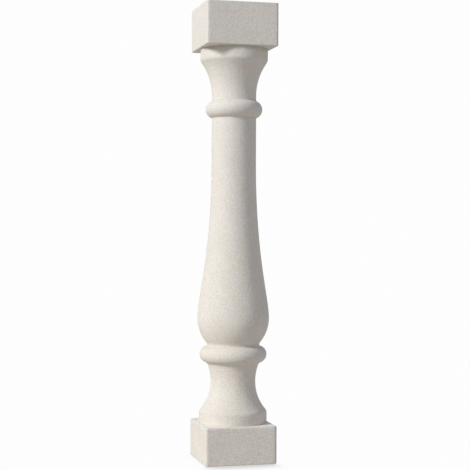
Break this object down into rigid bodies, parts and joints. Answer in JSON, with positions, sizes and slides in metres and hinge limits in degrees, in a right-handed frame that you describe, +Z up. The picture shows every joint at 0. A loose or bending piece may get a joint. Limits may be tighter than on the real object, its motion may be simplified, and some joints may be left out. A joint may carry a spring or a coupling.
{
  "type": "stone baluster",
  "caption": "Vase-shaped cast stone baluster with a square plinth and abacus, to stand in a row under a coping or handrail.",
  "frame": {"origin": "middle of the plinth's underside, which stands on the ground or on a base course", "axes": "+Z up along the turned body's axis; the sides of the plinth and of the abacus face along X and Y"},
  "size_m": [0.12, 0.12, 0.75],
  "materials": {
    "cast_stone": "matt cream cast stone with a fine sandy grain"
  },
  "bodies": {
    "root": {"baluster": "cast_stone"}
  },
  "joints": []
}
